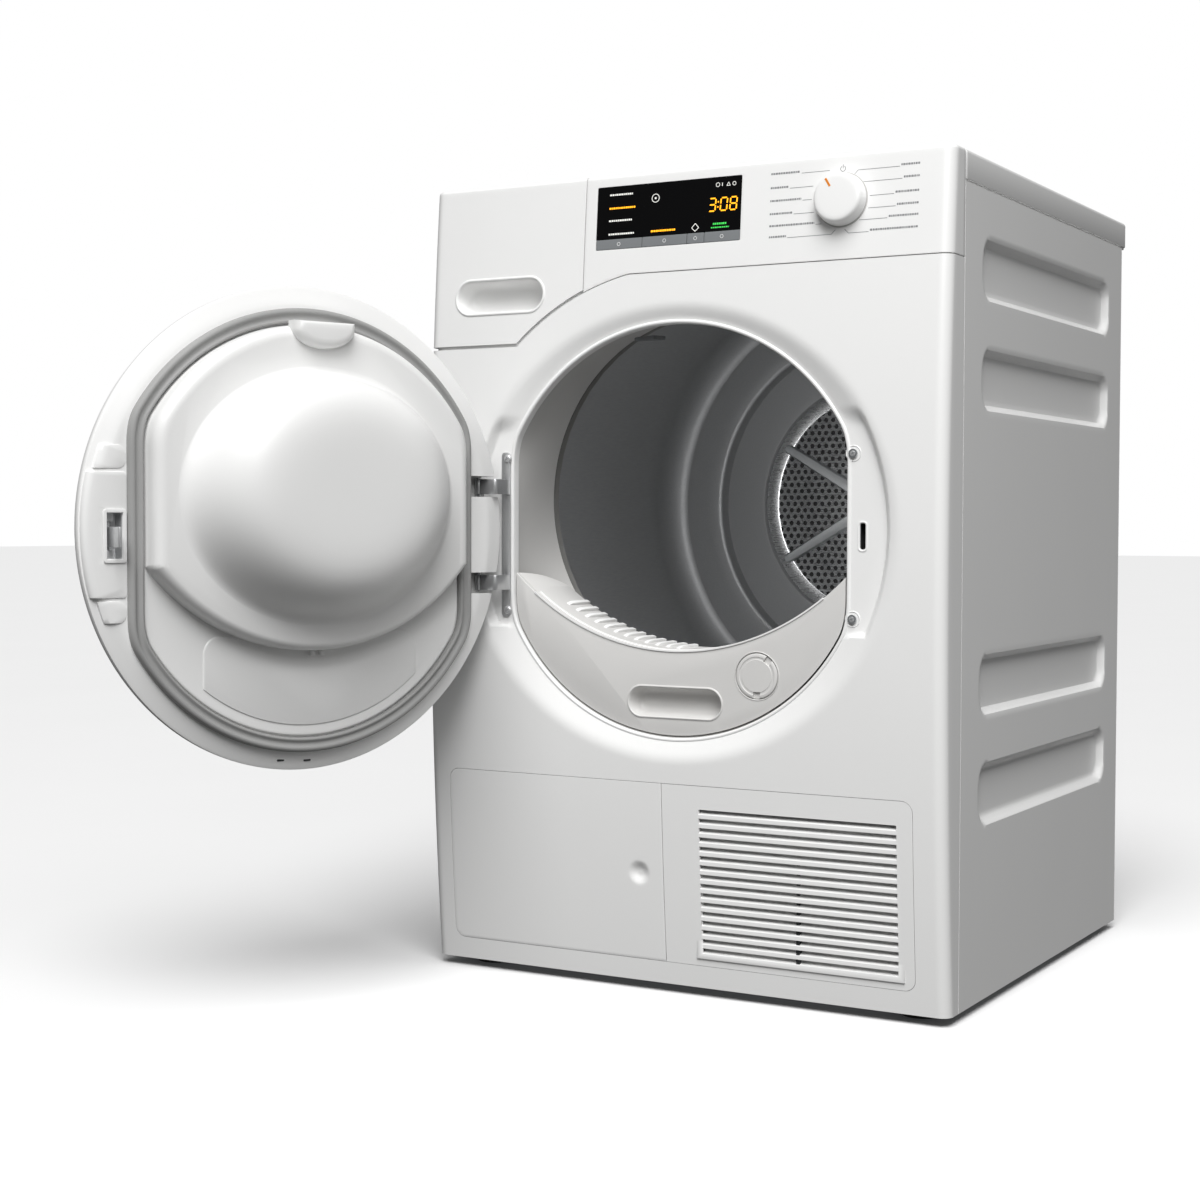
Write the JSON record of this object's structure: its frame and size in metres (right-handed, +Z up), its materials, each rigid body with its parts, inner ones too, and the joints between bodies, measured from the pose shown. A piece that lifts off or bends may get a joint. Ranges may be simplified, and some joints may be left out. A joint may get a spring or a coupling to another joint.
{
  "type": "clothes dryer",
  "caption": "Free-standing front-loading heat-pump clothes dryer with a round side-hinged door, steel drum, pull-out water tank, lint filter, plinth flap and grille.",
  "frame": {"origin": "on the floor under the middle of the cabinet, 6 mm under the flat pad in the base tray's underside", "axes": "+X to the right seen from the front, +Y to the back, +Z up; the door stands open at rest"},
  "size_m": [0.6869, 1.062, 0.85],
  "materials": {
    "enamel": "smooth white powder-baked enamel, satin",
    "white_plastic": "moulded white ABS, satin",
    "grey_plastic": "moulded light warm grey polypropylene",
    "dark_plastic": "moulded dark grey polypropylene",
    "display_glass": "black back-printed glass, gloss",
    "door_rubber": "mid grey moulded elastomer seal",
    "black_rubber": "black moulded rubber",
    "felt": "pressed wool felt",
    "zinc_steel": "zinc-plated sheet steel",
    "drum_steel": "dark rolled stainless sheet",
    "chrome": "bright nickel-chrome plate",
    "cast_aluminium": "die-cast, bead-blasted",
    "circuit_board": "green solder-resist board",
    "black_enamel": "black stoved paint"
  },
  "bodies": {
    "cabinet": {"front_panel": "enamel", "fascia": "white_plastic", "display_glass": "display_glass", "control_board": "circuit_board", "tank_tray": "grey_plastic", "grille_panel": "white_plastic", "side_panel_left": "enamel", "side_panel_right": "enamel", "rear_panel": "enamel", "mains_inlet": "dark_plastic", "worktop": "enamel", "base_tray": "zinc_steel", "front_bulkhead": "zinc_steel", "door_collar": "grey_plastic", "drum_front_seal": "felt", "rear_bulkhead": "zinc_steel", "rear_air_duct": "grey_plastic", "drum_bearing": "zinc_steel", "filter_duct": "grey_plastic", "hinge_bracket": "chrome", "hinge_pin": "chrome", "latch_strike": "zinc_steel", "drum_belt": "black_rubber", "drive_motor": "cast_aluminium", "blower_housing": "dark_plastic", "heat_exchanger_housing": "grey_plastic", "evaporator": "cast_aluminium", "condenser": "cast_aluminium", "compressor": "black_enamel", "condensate_pump": "dark_plastic", "cooling_fan_shroud": "dark_plastic"},
    "door": {"door_outer_shell": "white_plastic", "door_ring": "white_plastic", "door_seal": "door_rubber", "door_liner": "grey_plastic", "door_latch_housing": "grey_plastic", "hinge_leaf": "zinc_steel"},
    "latch": {"latch_hook": "zinc_steel"},
    "tank": {"tank_front": "white_plastic", "tank_container": "grey_plastic"},
    "knob": {"programme_knob": "white_plastic"},
    "flap": {"plinth_flap": "white_plastic"},
    "filter": {"filter_cover": "grey_plastic", "filter_cassette": "white_plastic"},
    "cap": {"filter_cap": "grey_plastic"},
    "drum": {"drum_shell": "drum_steel", "drum_rear_wall": "drum_steel", "drum_perforated_disc": "drum_steel", "drum_spider": "cast_aluminium"},
    "rotor": {"motor_rotor": "zinc_steel", "blower_impeller": "dark_plastic"},
    "tensioner": {"tensioner_arm": "zinc_steel"},
    "idler": {"idler_pulley": "dark_plastic"},
    "roller_left": {"support_roller_left": "black_rubber"},
    "roller_right": {"support_roller_right": "black_rubber"},
    "fan": {"cooling_fan": "dark_plastic"},
    "left_front_foot": {"foot_left_front": "black_rubber"},
    "right_front_foot": {"foot_right_front": "black_rubber"},
    "left_rear_foot": {"foot_left_rear": "black_rubber"},
    "right_rear_foot": {"foot_right_rear": "black_rubber"}
  },
  "joints": [
    {"name": "door_hinge", "type": "hinge", "parent": "cabinet", "child": "door", "pos_m": [-0.2202, -0.3223, 0.48], "axis": [0, 0, -1], "range_deg": [-111.3, 53.7]},
    {"name": "latch_pivot", "type": "hinge", "parent": "door", "child": "latch", "pos_m": [-0.36772, -0.72545, 0.4745], "axis": [0, 0, 1], "range_deg": [0, 12], "stiffness_Nm_per_rad": 0.3, "springref_deg": -11.46},
    {"name": "tank_slide", "type": "slide", "parent": "cabinet", "child": "tank", "axis": [0, -1, 0], "range_m": [0, 0.08]},
    {"name": "programme_turn", "type": "hinge", "parent": "cabinet", "child": "knob", "pos_m": [0.184, -0.29308, 0.804], "axis": [0, -0.9969, 0.0784], "continuous": true},
    {"name": "flap_hinge", "type": "hinge", "parent": "cabinet", "child": "flap", "pos_m": [-0.2715, -0.29541, 0.127], "axis": [0, 0.0716, -0.9974], "range_deg": [0, 110]},
    {"name": "filter_slide", "type": "slide", "parent": "cabinet", "child": "filter", "axis": [0, -1, 0], "range_m": [0, 0.12]},
    {"name": "cap_turn", "type": "hinge", "parent": "filter", "child": "cap", "pos_m": [0.095, -0.293, 0.335], "axis": [0, -1, 0], "range_deg": [0, 90]},
    {"name": "drum_spin", "type": "hinge", "parent": "cabinet", "child": "drum", "pos_m": [0, 0.05, 0.514], "axis": [0, 1, 0], "continuous": true},
    {"name": "rotor_spin", "type": "hinge", "parent": "cabinet", "child": "rotor", "pos_m": [0.2, 0, 0.13], "axis": [0, 1, 0], "continuous": true},
    {"name": "tensioner_pivot", "type": "hinge", "parent": "cabinet", "child": "tensioner", "pos_m": [0.05248, -0.1, 0.11198], "axis": [0, 1, 0], "range_deg": [0, 8], "stiffness_Nm_per_rad": 20, "springref_deg": -20.05},
    {"name": "idler_spin", "type": "hinge", "parent": "tensioner", "child": "idler", "pos_m": [0.09354, -0.11, 0.13869], "axis": [0, 1, 0], "continuous": true},
    {"name": "roller_left_spin", "type": "hinge", "parent": "cabinet", "child": "roller_left", "pos_m": [-0.15815, -0.145, 0.24008], "axis": [0, 1, 0], "continuous": true},
    {"name": "roller_right_spin", "type": "hinge", "parent": "cabinet", "child": "roller_right", "pos_m": [0.15815, -0.145, 0.24008], "axis": [0, 1, 0], "continuous": true},
    {"name": "fan_spin", "type": "hinge", "parent": "cabinet", "child": "fan", "pos_m": [0.165, -0.255, 0.116], "axis": [0, 1, 0], "continuous": true},
    {"name": "left_front_foot_turn", "type": "hinge", "parent": "cabinet", "child": "left_front_foot", "pos_m": [-0.252, -0.238, 0.01], "axis": [0, 0, 1], "continuous": true},
    {"name": "right_front_foot_turn", "type": "hinge", "parent": "cabinet", "child": "right_front_foot", "pos_m": [0.252, -0.238, 0.01], "axis": [0, 0, 1], "continuous": true},
    {"name": "left_rear_foot_turn", "type": "hinge", "parent": "cabinet", "child": "left_rear_foot", "pos_m": [-0.252, 0.24, 0.01], "axis": [0, 0, 1], "continuous": true},
    {"name": "right_rear_foot_turn", "type": "hinge", "parent": "cabinet", "child": "right_rear_foot", "pos_m": [0.252, 0.24, 0.01], "axis": [0, 0, 1], "continuous": true}
  ],
  "couplings": [
    {"joint": "rotor_spin", "follows": "drum_spin", "ratio": 20.429},
    {"joint": "idler_spin", "follows": "drum_spin", "ratio": -17.875},
    {"joint": "roller_left_spin", "follows": "drum_spin", "ratio": -9.5333},
    {"joint": "roller_right_spin", "follows": "drum_spin", "ratio": -9.5333}
  ]
}
